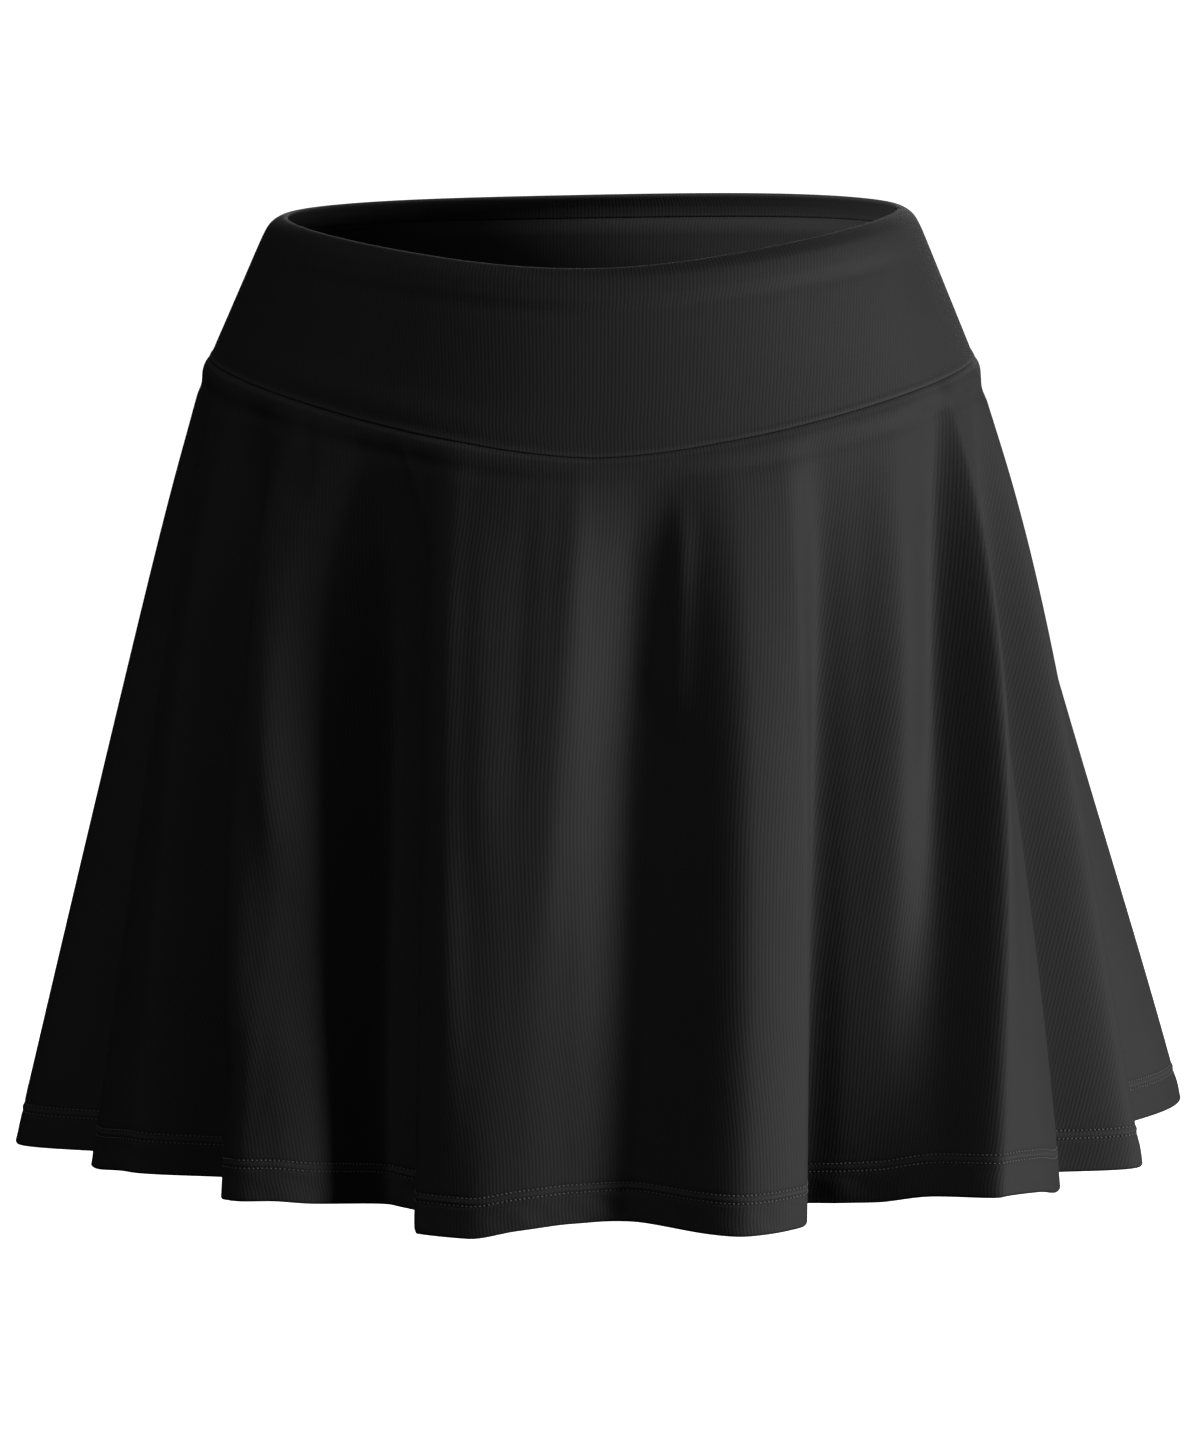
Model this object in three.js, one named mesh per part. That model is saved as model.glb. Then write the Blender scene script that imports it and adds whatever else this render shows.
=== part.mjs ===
// A flared tennis skort as it is worn: a wide waistband yoke with its facing, a circle-cut
// skirt that falls in soft folds, and plain inner shorts sewn into the yoke seam.
//
// Frame: millimetres, +Z up, wearer's front towards -Y, wearer's left towards +X. The origin
// is the middle of the waist opening, level with the top edge at the side seams.
//
// Every panel is a sheet: a function gives the point for a place across the panel and a place
// down it, and a wall of cloth is laid inside that sheet.

import * as THREE from 'three';

// ---------------------------------------------------------------- driving dimensions

const WAIST_HALF_WIDTH = 120.5;    // top edge, side to side
const WAIST_HALF_DEPTH = 90;       // top edge, front to back
const YOKE_SEAM_HALF_WIDTH = 151;
const YOKE_SEAM_HALF_DEPTH = 116;
const YOKE_SIDE_DEPTH = 57.5;      // from the origin's level down to the yoke seam at the sides
const WAIST_SHOULDER = 6;          // how far the rolled top edge stands in from the yoke's slope
const SHOULDER_REACH = 0.06;       // share of the yoke's depth in which that roll happens
const WAIST_FRONT_DIP = 13;
const WAIST_BACK_DIP = 2;
const WAIST_TILT = 1.8;            // the wearer's left side stands this much high, the right low
const SEAM_FRONT_DIP = 24;
const SEAM_BACK_DIP = 9;
const SEAM_POINT_DIP = 1.5;        // the seam comes to a shallow point at centre front
const SEAM_POINT_HALF_ANGLE = 24;

const HEM_DROP = 369.5;            // level of the skirt's hem below the origin
const SKIRT_BULGE = 3.2;           // the skirt stands this far out just under the yoke seam
const BULGE_DROP = 2.4;            // and gets there in about twice this drop
const FLARE_START = 0.05;          // share of the drop before the flare begins in full
const BELLY_PLACE = 1 / 3;         // share of the drop where a fold line bows out the most

const CLOTH = 1.2;                 // one layer of jersey
const WAIST_BAND_DEPTH = 12;       // the yoke is turned over this far inside its top edge
const HEM_TURN_UP = 16;
const SEAM_GAP = 0.3;              // clearance between pieces that are sewn together

const SHORTS_HIP_HALF_WIDTH = 149;
const SHORTS_HIP_HALF_DEPTH = 110;
const SHORTS_CROTCH_DROP = 260;
const SHORTS_LEG_DROP = 323;
const SHORTS_LEG_SPREAD = 8;       // how far a leg moves outwards from the crotch to its hem
const SHORTS_LEG_HALF_WIDTH = 74;
const SHORTS_LEG_HALF_DEPTH = 88;
const SHORTS_WALL = 1.6;
const SHORTS_CROTCH_LIFT = 90;     // turns the wall upwards where the cloth passes under the crotch

const SIDE_SEAM_ANGLE = 90;

// ---------------------------------------------------------------- the skirt's folds

// One row for each fold line, all round the skirt from the wearer's right side by the front.
//   seam   degrees from centre front where the line leaves the yoke seam
//   hem    degrees from centre front where it meets the hem
//   reach  how far the hem lies from the middle of the body there, in millimetres
//   belly  how far the line bows out from straight between the seam and the hem
//   lift   how far the hem rises there above its level
const FOLD_LINES = [
  { line: 'right side crest',          seam: -88,    hem: -81,    reach: 233,    belly: 0,   lift: 0 },
  { line: 'right front outer trough',  seam: -80,    hem: -73,    reach: 193,    belly: -3,  lift: 0 },
  { line: 'right front outer edge',    seam: -75,    hem: -69,    reach: 211,    belly: 3,   lift: 0 },
  { line: 'right front outer crest',   seam: -70,    hem: -62,    reach: 205,    belly: 6,   lift: 3 },
  { line: 'right front trough',        seam: -63,    hem: -54.5,  reach: 166,    belly: -4,  lift: 0 },
  { line: 'right front edge',          seam: -57,    hem: -48,    reach: 191,    belly: 5,   lift: 1.5 },
  { line: 'right front face',          seam: -54,    hem: -40.5,  reach: 210,    belly: 9,   lift: 7.5 },
  { line: 'right front crest',         seam: -50,    hem: -37,    reach: 203,    belly: 11,  lift: 8 },
  { line: 'right front slope',         seam: -46,    hem: -34,    reach: 193,    belly: 6,   lift: 6.5 },
  { line: 'right middle trough',       seam: -37,    hem: -29.5,  reach: 157,    belly: -7,  lift: 0 },
  { line: 'right middle foot',         seam: -31,    hem: -24.5,  reach: 158,    belly: -3,  lift: -1 },
  { line: 'right middle edge',         seam: -26,    hem: -21.5,  reach: 182,    belly: 5,   lift: -3 },
  { line: 'right middle crest',        seam: -18,    hem: -15,    reach: 183,    belly: 6,   lift: -3 },
  { line: 'right middle face',         seam: -11,    hem: -9,     reach: 179,    belly: 6,   lift: 0 },
  { line: 'right middle slope',        seam: -3,     hem: -2.5,   reach: 172,    belly: 4,   lift: 1.5 },
  { line: 'centre front trough',       seam: 9,      hem: 4,      reach: 166,    belly: -4,  lift: 1 },
  { line: 'left middle crest',         seam: 26,     hem: 18,     reach: 194,    belly: 6,   lift: 0 },
  { line: 'left middle shoulder',      seam: 34,     hem: 25,     reach: 189,    belly: 6,   lift: 0 },
  { line: 'left front trough',         seam: 42,     hem: 32,     reach: 150,    belly: 0,   lift: -2 },
  { line: 'left front foot',           seam: 48,     hem: 36.5,   reach: 162,    belly: 2,   lift: -1 },
  { line: 'left front ripple',         seam: 55,     hem: 39.5,   reach: 172,    belly: 6,   lift: 0 },
  { line: 'left front hollow',         seam: 66,     hem: 43,     reach: 190,    belly: -6,  lift: 4 },
  { line: 'left front crest',          seam: 69.5,   hem: 46.8,   reach: 216,    belly: 8,   lift: 6 },
  { line: 'left front shoulder',       seam: 72,     hem: 52.5,   reach: 217,    belly: 0,   lift: 4 },
  { line: 'left front edge',           seam: 74.5,   hem: 59,     reach: 212,    belly: -3,  lift: -1 },
  { line: 'left front outer trough',   seam: 77.5,   hem: 64,     reach: 193,    belly: -2,  lift: -1 },
  { line: 'left front outer crest',    seam: 82,     hem: 72,     reach: 228,    belly: 5,   lift: -1 },
  { line: 'left side trough',          seam: 87,     hem: 81,     reach: 199,    belly: -1,  lift: 0 },
  { line: 'left side crest',           seam: 96,     hem: 101,    reach: 246,    belly: -4,  lift: 0 },
  { line: 'left back outer trough',    seam: 108,    hem: 113,    reach: 206,    belly: -5,  lift: 0 },
  { line: 'left back outer crest',     seam: 122,    hem: 126,    reach: 227,    belly: 4,   lift: 2 },
  { line: 'left back trough',          seam: 136,    hem: 139,    reach: 184,    belly: -4,  lift: 0 },
  { line: 'left back crest',           seam: 148,    hem: 150,    reach: 211,    belly: 6,   lift: 3 },
  { line: 'left middle back trough',   seam: 161,    hem: 161,    reach: 177,    belly: -4,  lift: 0 },
  { line: 'centre back crest',         seam: 172,    hem: 172,    reach: 204,    belly: 7,   lift: 2 },
  { line: 'centre back trough',        seam: 185,    hem: 184,    reach: 175,    belly: -4,  lift: 0 },
  { line: 'right middle back crest',   seam: 199,    hem: 197,    reach: 207,    belly: 6,   lift: 3 },
  { line: 'right middle back trough',  seam: 212,    hem: 209,    reach: 179,    belly: -5,  lift: 0 },
  { line: 'right back crest',          seam: 225,    hem: 222,    reach: 215,    belly: 6,   lift: 2 },
  { line: 'right back trough',         seam: 239,    hem: 235,    reach: 189,    belly: -4,  lift: 0 },
  { line: 'right back outer crest',    seam: 251,    hem: 249,    reach: 231,    belly: 3,   lift: 3 },
  { line: 'right side trough',         seam: 262,    hem: 264,    reach: 206,    belly: -3,  lift: 0 },
];

// The sheet has two columns from one fold line to the next, or three where they are far apart.
const WIDE_FOLD_ANGLE = 5;

// Shares of the drop at which the skirt's sheet has a row. They are closer together in the
// bulge under the seam.
const SKIRT_ROWS = [0, 0.008, 0.025, 0.11, 0.24, 0.4, 0.58, 0.78];

// Shares of the yoke's depth at which it has a row, below its turned-over band.
const YOKE_ROWS = [0.32, 0.5, 0.75, 1];
const YOKE_COLUMNS = 22;
const FACING_END = 0.98;           // its slanted lower edge is then level with the seam
const SHORTS_COLUMNS = 20;
const SHORTS_BODY_ROWS = 8;
const SHORTS_LEG_ROWS = 2;

// ---------------------------------------------------------------- small helpers

const radians = (degrees) => degrees * Math.PI / 180;
const mix = (from, to, share) => from + (to - from) * share;
const linearSteps = (from, to, count) =>
  Array.from({ length: count + 1 }, (_, index) => mix(from, to, index / count));

// Distance from the middle to an ellipse in the direction of an angle from centre front.
function ellipseReach(halfWidth, halfDepth, angle) {
  return 1 / Math.hypot(Math.sin(angle) / halfWidth, Math.cos(angle) / halfDepth);
}

function atAngle(angle, reach, height) {
  return new THREE.Vector3(reach * Math.sin(angle), -reach * Math.cos(angle), height);
}

// Smooth curve through a ring of fold lines, level at each crest and trough, so that a fold
// never swings past its own row. It reads the rows by their hem angle. A column of angles
// goes on growing from turn to turn.
function foldCurve(column) {
  const turn = 360;
  const first = FOLD_LINES.slice(0, 2).map((row) => wrapRow(row, turn));
  const last = FOLD_LINES.slice(-2).map((row) => wrapRow(row, -turn));
  const rows = [...last, ...FOLD_LINES, ...first];
  const angles = rows.map((row) => row.hem);
  const values = rows.map((row) => row[column]);
  const rises = angles.slice(1).map((angle, index) =>
    (values[index + 1] - values[index]) / (angle - angles[index]));
  const slopes = rows.map((_, index) => {
    const before = rises[index - 1] ?? rises[index];
    const after = rises[index] ?? rises[index - 1];
    return before * after > 0 ? 2 * before * after / (before + after) : 0;
  });
  return (hemAngle) => {
    const turns = Math.floor((hemAngle - FOLD_LINES[0].hem) / turn);
    const angle = hemAngle - turns * turn;
    const grown = column === 'seam' ? turns * turn : 0;
    const index = angles.findIndex((start) => start > angle) - 1;
    const span = angles[index + 1] - angles[index];
    const t = (angle - angles[index]) / span;
    return grown + values[index] * (1 + 2 * t) * (1 - t) ** 2
      + slopes[index] * span * t * (1 - t) ** 2
      + values[index + 1] * t * t * (3 - 2 * t)
      + slopes[index + 1] * span * t * t * (t - 1);
  };
}

function wrapRow(row, turn) {
  return { ...row, seam: row.seam + turn, hem: row.hem + turn };
}

// ---------------------------------------------------------------- the garment's own sheets

// How far a ring dips below its level at the sides, more at the front than at the back.
function dip(angle, front, back) {
  const facing = Math.cos(angle);
  return (facing > 0 ? front : back) * Math.abs(facing) ** 1.8;
}

function waistHeight(angle) {
  return WAIST_TILT * Math.sin(angle) - dip(angle, WAIST_FRONT_DIP, WAIST_BACK_DIP);
}

function seamHeight(angle) {
  const fromFront = Math.abs(Math.atan2(Math.sin(angle), Math.cos(angle)));
  const point = Math.max(0, 1 - fromFront / radians(SEAM_POINT_HALF_ANGLE));
  return -YOKE_SIDE_DEPTH - dip(angle, SEAM_FRONT_DIP, SEAM_BACK_DIP) - SEAM_POINT_DIP * point;
}

// The yoke's outer face. down is 0 at the top edge and 1 at the seam.
function yokeSheet(angle, down) {
  const roll = WAIST_SHOULDER * (1 - Math.exp(-down / SHOULDER_REACH));
  const halfWidth = mix(WAIST_HALF_WIDTH, YOKE_SEAM_HALF_WIDTH - WAIST_SHOULDER, down) + roll;
  const halfDepth = mix(WAIST_HALF_DEPTH, YOKE_SEAM_HALF_DEPTH - WAIST_SHOULDER, down) + roll;
  const height = mix(waistHeight(angle), seamHeight(angle), down);
  return atAngle(angle, ellipseReach(halfWidth, halfDepth, angle), height);
}

const foldSeamAngle = foldCurve('seam');
const foldReach = foldCurve('reach');
const foldBelly = foldCurve('belly');
const foldLift = foldCurve('lift');

// 0 at the seam and at the hem, and 1 at the belly's place.
function bellyShare(down) {
  const peak = BELLY_PLACE * (1 - BELLY_PLACE) ** 2;
  return down * (1 - down) ** 2 / peak;
}

// The skirt's outer face. hemAngle is in degrees at the hem. down is 0 at the yoke seam and 1
// at the hem.
function skirtSheet(hemAngle, down) {
  const seamAngle = radians(foldSeamAngle(hemAngle));
  const angle = mix(seamAngle, radians(hemAngle), down);
  const top = seamHeight(seamAngle) - SEAM_GAP;
  const height = mix(top, foldLift(hemAngle) - HEM_DROP, down);
  const bulge = SKIRT_BULGE * (1 - Math.exp((height - top) / BULGE_DROP));
  const seamReach = ellipseReach(YOKE_SEAM_HALF_WIDTH, YOKE_SEAM_HALF_DEPTH, seamAngle) + bulge;
  const flare = down * (1 - Math.exp(-down / FLARE_START));
  const straight = mix(seamReach, foldReach(hemAngle), flare);
  return atAngle(angle, straight + foldBelly(hemAngle) * bellyShare(down), height);
}

// From the middle of the body to the middle of a leg. The legs touch at the crotch.
function shortsLegCentre(down) {
  return SHORTS_LEG_HALF_WIDTH + SEAM_GAP / 2 + SHORTS_LEG_SPREAD * Math.max(0, down - 1);
}

// The wearer's left half of the inner shorts. around is 0 at centre front (lower down, at the
// inside leg seam), 0.5 at the side and 1 at centre back. down is 0 at the yoke seam, 1 at the
// crotch and 2 at the leg hem.
function shortsSheet(around, down) {
  const body = Math.min(down, 1);
  const curl = body * Math.PI / 2;
  const angle = mix(0, Math.PI, around);
  const seamInset = CLOTH + 2 * SEAM_GAP;
  const ringWidth = mix(YOKE_SEAM_HALF_WIDTH - seamInset, SHORTS_HIP_HALF_WIDTH, body);
  const ringDepth = mix(YOKE_SEAM_HALF_DEPTH - seamInset, SHORTS_HIP_HALF_DEPTH, body);
  const ring = atAngle(angle, ellipseReach(ringWidth, ringDepth, angle), 0);
  ring.x = Math.max(ring.x, SEAM_GAP / 2);
  const legAngle = radians(mix(-90, 270, around)) - around * SEAM_GAP / SHORTS_LEG_HALF_WIDTH;
  const leg = new THREE.Vector3(
    shortsLegCentre(down) + SHORTS_LEG_HALF_WIDTH * Math.sin(legAngle),
    -SHORTS_LEG_HALF_DEPTH * Math.cos(legAngle), 0);
  const becomesLeg = 1 - Math.cos(curl);
  const point = ring.lerp(leg, becomesLeg);
  const top = seamHeight(angle) - SEAM_GAP;
  const bodyHeight = mix(top, -SHORTS_CROTCH_DROP, Math.sin(curl));
  point.z = down <= 1 ? bodyHeight : mix(-SHORTS_CROTCH_DROP, -SHORTS_LEG_DROP, down - 1);
  return point;
}

// ---------------------------------------------------------------- from sheets to solids

// Unit normal of a sheet at a place, pointing out of the garment.
function outward(sheet, across, down, acrossStep, downStep, lowest, highest) {
  const upper = Math.max(lowest, down - downStep);
  const lower = Math.min(highest, down + downStep);
  const side = sheet(across + acrossStep, down).sub(sheet(across - acrossStep, down));
  const fall = sheet(across, lower).sub(sheet(across, upper));
  return fall.cross(side).normalize();
}

// A closed wall between an outer and an inner grid of points, each a list of rows.
function wallBetween(outer, inner) {
  const rowCount = outer.length;
  const columnCount = outer[0].length;
  const points = [...outer.flat(), ...inner.flat()];
  const innerStart = rowCount * columnCount;
  const triangles = [];
  const quad = (a, b, c, d) => triangles.push(a, b, c, a, c, d);
  const outerAt = (row, column) => row * columnCount + column;
  const innerAt = (row, column) => innerStart + outerAt(row, column);
  for (let row = 0; row + 1 < rowCount; row += 1) {
    for (let column = 0; column + 1 < columnCount; column += 1) {
      quad(outerAt(row, column), outerAt(row + 1, column),
        outerAt(row + 1, column + 1), outerAt(row, column + 1));
      quad(innerAt(row, column), innerAt(row, column + 1),
        innerAt(row + 1, column + 1), innerAt(row + 1, column));
    }
    const last = columnCount - 1;
    quad(outerAt(row, 0), innerAt(row, 0), innerAt(row + 1, 0), outerAt(row + 1, 0));
    quad(outerAt(row, last), outerAt(row + 1, last), innerAt(row + 1, last), innerAt(row, last));
  }
  for (let column = 0; column + 1 < columnCount; column += 1) {
    const last = rowCount - 1;
    quad(outerAt(0, column), outerAt(0, column + 1), innerAt(0, column + 1), innerAt(0, column));
    quad(outerAt(last, column), innerAt(last, column),
      innerAt(last, column + 1), outerAt(last, column + 1));
  }
  const geometry = new THREE.BufferGeometry();
  geometry.setAttribute('position', new THREE.Float32BufferAttribute(
    points.flatMap((point) => point.toArray()), 3));
  geometry.setIndex(triangles);
  geometry.computeVertexNormals();
  return geometry;
}

// A panel of cloth: rows down the sheet, each with its own inner and outer depth under the
// sheet's face.
function clothPanel(sheet, columns, rows, steps) {
  const pointUnder = (across, row, depth) => {
    const normal = outward(sheet, across, row.down, steps.across, steps.down, 0, steps.end);
    return sheet(across, row.down).addScaledVector(normal, -depth);
  };
  const outer = rows.map((row) => columns.map((across) => pointUnder(across, row, row.outer)));
  const inner = rows.map((row) => columns.map((across) => pointUnder(across, row, row.inner)));
  return wallBetween(outer, inner);
}

function material(roughness) {
  return new THREE.MeshStandardMaterial({
    color: 0x0d0d0d,
    roughness,
    metalness: 0,
    side: THREE.DoubleSide,
  });
}

function piece(name, geometry, roughness) {
  const mesh = new THREE.Mesh(geometry, material(roughness));
  mesh.name = name;
  return mesh;
}

// ---------------------------------------------------------------- the yoke and its facing

const SEAM_GAP_ANGLE = SEAM_GAP / 2 / WAIST_HALF_WIDTH;
const YOKE_FRONT_DEPTH = YOKE_SIDE_DEPTH + SEAM_FRONT_DIP - WAIST_FRONT_DIP;
const BAND_SHARE = WAIST_BAND_DEPTH / YOKE_FRONT_DEPTH;   // where the turned-over band ends
const YOKE_STEPS = { across: radians(0.5), down: 0.01, end: 1 };

// Angles across the front or the back half, stopping half a gap short of each side seam.
function halfAngles(isBack) {
  const middle = isBack ? Math.PI : 0;
  const reach = radians(SIDE_SEAM_ANGLE) - SEAM_GAP_ANGLE;
  return linearSteps(middle - reach, middle + reach, YOKE_COLUMNS);
}

// The yoke's cloth is turned over inside its top edge, so it is double there, with a rounded
// edge, and single below.
function yokePanel(isBack) {
  const doubled = 2 * CLOTH;
  const rows = [
    { down: 0, outer: doubled * 0.3, inner: doubled * 0.7 },
    { down: 0.018, outer: 0, inner: doubled },
    { down: 0.08, outer: 0, inner: doubled },
    { down: BAND_SHARE, outer: 0, inner: doubled },
    { down: BAND_SHARE + 0.002, outer: 0, inner: CLOTH },
    ...YOKE_ROWS.map((down) => ({ down, outer: 0, inner: CLOTH })),
  ];
  return clothPanel(yokeSheet, halfAngles(isBack), rows, YOKE_STEPS);
}

// The facing lines the yoke from the turned-over band down to the seam.
function facingPanel(isBack) {
  const outer = CLOTH + SEAM_GAP;
  const inner = outer + CLOTH;
  const rows = [BAND_SHARE + 0.009, ...YOKE_ROWS.slice(0, -1), FACING_END]
    .map((down) => ({ down, outer, inner }));
  return clothPanel(yokeSheet, halfAngles(isBack), rows, YOKE_STEPS);
}

// ---------------------------------------------------------------- the skirt

// The hem angle of the line that leaves the yoke seam at a given angle.
function hemAngleOf(seamAngle) {
  let low = seamAngle - 30;
  let high = seamAngle + 30;
  for (let step = 0; step < 40; step += 1) {
    const middle = (low + high) / 2;
    if (foldSeamAngle(middle) < seamAngle) low = middle;
    else high = middle;
  }
  return (low + high) / 2;
}

// Hem angles across a panel: its two edges, every fold line between them and even steps from
// one line to the next.
function foldColumns(from, to) {
  const lines = [...FOLD_LINES, ...FOLD_LINES.map((row) => wrapRow(row, 360))]
    .map((row) => row.hem)
    .filter((hem) => hem > from + 1 && hem < to - 1);
  const stops = [from, ...lines, to];
  return stops.slice(1).flatMap((stop, index) => {
    const start = stops[index];
    const count = stop - start > WIDE_FOLD_ANGLE ? 3 : 2;
    return linearSteps(start, stop, count).slice(0, -1);
  }).concat(to);
}

function skirtPanel(isBack) {
  const hemGapAngle = 2 * SEAM_GAP_ANGLE * 180 / Math.PI;
  const left = hemAngleOf(SIDE_SEAM_ANGLE);
  const right = hemAngleOf(360 - SIDE_SEAM_ANGLE);
  const columns = isBack
    ? foldColumns(left + hemGapAngle, right - hemGapAngle)
    : foldColumns(right - 360 + hemGapAngle, left - hemGapAngle);
  const turnUp = 1 - HEM_TURN_UP / (HEM_DROP - YOKE_SIDE_DEPTH);
  const rows = [
    ...SKIRT_ROWS.map((down) => ({ down, outer: 0, inner: CLOTH })),
    { down: turnUp - 0.003, outer: 0, inner: CLOTH },
    { down: turnUp, outer: 0, inner: 2 * CLOTH },
    { down: 1, outer: 0, inner: 2 * CLOTH },
  ];
  const steps = { across: 0.4, down: 0.004, end: 1 };
  return clothPanel(skirtSheet, columns, rows, steps);
}

// ---------------------------------------------------------------- the inner shorts

// The wall is laid towards the middle of the leg that the row belongs to.
function shortsPanel(isRight) {
  const rows = [
    ...linearSteps(0, 1, SHORTS_BODY_ROWS),
    ...linearSteps(1, 2, SHORTS_LEG_ROWS).slice(1),
  ];
  const columns = linearSteps(0, 1, SHORTS_COLUMNS);
  const outer = rows.map((down) => columns.map((around) => shortsSheet(around, down)));
  const inner = rows.map((down, index) => outer[index].map((point) => {
    const body = Math.min(down, 1);
    const lift = SHORTS_CROTCH_LIFT * body ** 4 * (2 - down);
    const middle = new THREE.Vector3(shortsLegCentre(down), 0, point.z + lift);
    const inwards = middle.sub(point).normalize();
    return point.clone().addScaledVector(inwards, SHORTS_WALL);
  }));
  if (!isRight) return wallBetween(outer, inner);
  const mirrored = (grid) => grid.map((row) =>
    row.map((point) => new THREE.Vector3(-point.x, point.y, point.z)).reverse());
  return wallBetween(mirrored(outer), mirrored(inner));
}

// ---------------------------------------------------------------- the skort

const skort = new THREE.Group();
skort.add(
  piece('yoke_front', yokePanel(false), 0.8),
  piece('yoke_back', yokePanel(true), 0.8),
  piece('facing_front', facingPanel(false), 0.85),
  piece('facing_back', facingPanel(true), 0.85),
  piece('skirt_front', skirtPanel(false), 0.75),
  piece('skirt_back', skirtPanel(true), 0.75),
  piece('shorts_left', shortsPanel(false), 0.8),
  piece('shorts_right', shortsPanel(true), 0.8),
);

export default skort;
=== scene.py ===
# A flared tennis skort in black jersey, hollow and shaped as it is worn: yoke, facing, skirt,
# inner shorts and the twin rows of hem stitches.
#
# Metres, +Z up, wearer's front towards -Y, wearer's left towards +X. Angles go round from centre
# front towards the wearer's left.

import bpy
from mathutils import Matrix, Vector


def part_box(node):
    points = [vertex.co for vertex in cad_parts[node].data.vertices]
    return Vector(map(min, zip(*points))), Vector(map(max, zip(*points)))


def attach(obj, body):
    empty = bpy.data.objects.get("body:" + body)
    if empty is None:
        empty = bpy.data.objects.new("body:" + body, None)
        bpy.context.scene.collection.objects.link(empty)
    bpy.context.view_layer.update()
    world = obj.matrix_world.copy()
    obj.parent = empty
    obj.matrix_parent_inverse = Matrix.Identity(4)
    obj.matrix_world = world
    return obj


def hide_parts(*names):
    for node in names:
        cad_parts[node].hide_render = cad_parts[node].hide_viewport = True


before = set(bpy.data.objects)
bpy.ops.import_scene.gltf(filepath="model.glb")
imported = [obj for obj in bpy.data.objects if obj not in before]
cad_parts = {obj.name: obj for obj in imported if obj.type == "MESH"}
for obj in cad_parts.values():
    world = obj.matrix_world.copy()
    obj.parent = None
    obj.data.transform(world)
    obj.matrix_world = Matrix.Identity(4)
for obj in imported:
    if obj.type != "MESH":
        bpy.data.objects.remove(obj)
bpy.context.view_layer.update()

import math
from collections import namedtuple

import bpy
import numpy as np
from bpy.props import FloatProperty, FloatVectorProperty, PointerProperty
from mathutils import Vector

bl_info = {
    "name": "Tennis skort",
    "version": (1, 0, 0),
    "blender": (4, 5, 0),
    "location": "3D View > Sidebar > Skort",
    "description": "Builds a flared tennis skort, piece by piece, round its packed solids",
    "category": "Object",
}

# ---------------------------------------------------------------- the skirt's folds

# One row for each fold line, all round the skirt from the wearer's right side by the front:
#   seam   degrees where the line leaves the yoke seam
#   hem    degrees where it meets the hem
#   reach  how far the hem lies from the middle of the body there
#   belly  how far the line bows out from straight between the seam and the hem
#   lift   how far the hem rises above its level there
FoldLine = namedtuple("FoldLine", "name seam hem reach belly lift")
FOLD_LINES = [FoldLine(*row) for row in (
    ("right side crest", -88, -81, 0.233, 0, 0),
    ("right front outer trough", -80, -73, 0.193, -0.003, 0),
    ("right front outer edge", -75, -69, 0.211, 0.003, 0),
    ("right front outer crest", -70, -62, 0.205, 0.006, 0.003),
    ("right front trough", -63, -54.5, 0.166, -0.004, 0),
    ("right front edge", -57, -48, 0.191, 0.005, 0.0015),
    ("right front face", -54, -40.5, 0.210, 0.009, 0.0075),
    ("right front crest", -50, -37, 0.203, 0.011, 0.008),
    ("right front slope", -46, -34, 0.193, 0.006, 0.0065),
    ("right middle trough", -37, -29.5, 0.157, -0.007, 0),
    ("right middle foot", -31, -24.5, 0.158, -0.003, -0.001),
    ("right middle edge", -26, -21.5, 0.182, 0.005, -0.003),
    ("right middle crest", -18, -15, 0.183, 0.006, -0.003),
    ("right middle face", -11, -9, 0.179, 0.006, 0),
    ("right middle slope", -3, -2.5, 0.172, 0.004, 0.0015),
    ("centre front trough", 9, 4, 0.166, -0.004, 0.001),
    ("left middle crest", 26, 18, 0.194, 0.006, 0),
    ("left middle shoulder", 34, 25, 0.189, 0.006, 0),
    ("left front trough", 42, 32, 0.150, 0, -0.002),
    ("left front foot", 48, 36.5, 0.162, 0.002, -0.001),
    ("left front ripple", 55, 39.5, 0.172, 0.006, 0),
    ("left front hollow", 66, 43, 0.190, -0.006, 0.004),
    ("left front crest", 69.5, 46.8, 0.216, 0.008, 0.006),
    ("left front shoulder", 72, 52.5, 0.217, 0, 0.004),
    ("left front edge", 74.5, 59, 0.212, -0.003, -0.001),
    ("left front outer trough", 77.5, 64, 0.193, -0.002, -0.001),
    ("left front outer crest", 82, 72, 0.228, 0.005, -0.001),
    ("left side trough", 87, 81, 0.199, -0.001, 0),
    ("left side crest", 96, 101, 0.246, -0.004, 0),
    ("left back outer trough", 108, 113, 0.206, -0.005, 0),
    ("left back outer crest", 122, 126, 0.227, 0.004, 0.002),
    ("left back trough", 136, 139, 0.184, -0.004, 0),
    ("left back crest", 148, 150, 0.211, 0.006, 0.003),
    ("left middle back trough", 161, 161, 0.177, -0.004, 0),
    ("centre back crest", 172, 172, 0.204, 0.007, 0.002),
    ("centre back trough", 185, 184, 0.175, -0.004, 0),
    ("right middle back crest", 199, 197, 0.207, 0.006, 0.003),
    ("right middle back trough", 212, 209, 0.179, -0.005, 0),
    ("right back crest", 225, 222, 0.215, 0.006, 0.002),
    ("right back trough", 239, 235, 0.189, -0.004, 0),
    ("right back outer crest", 251, 249, 0.231, 0.003, 0.003),
    ("right side trough", 262, 264, 0.206, -0.003, 0),
)]

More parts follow.
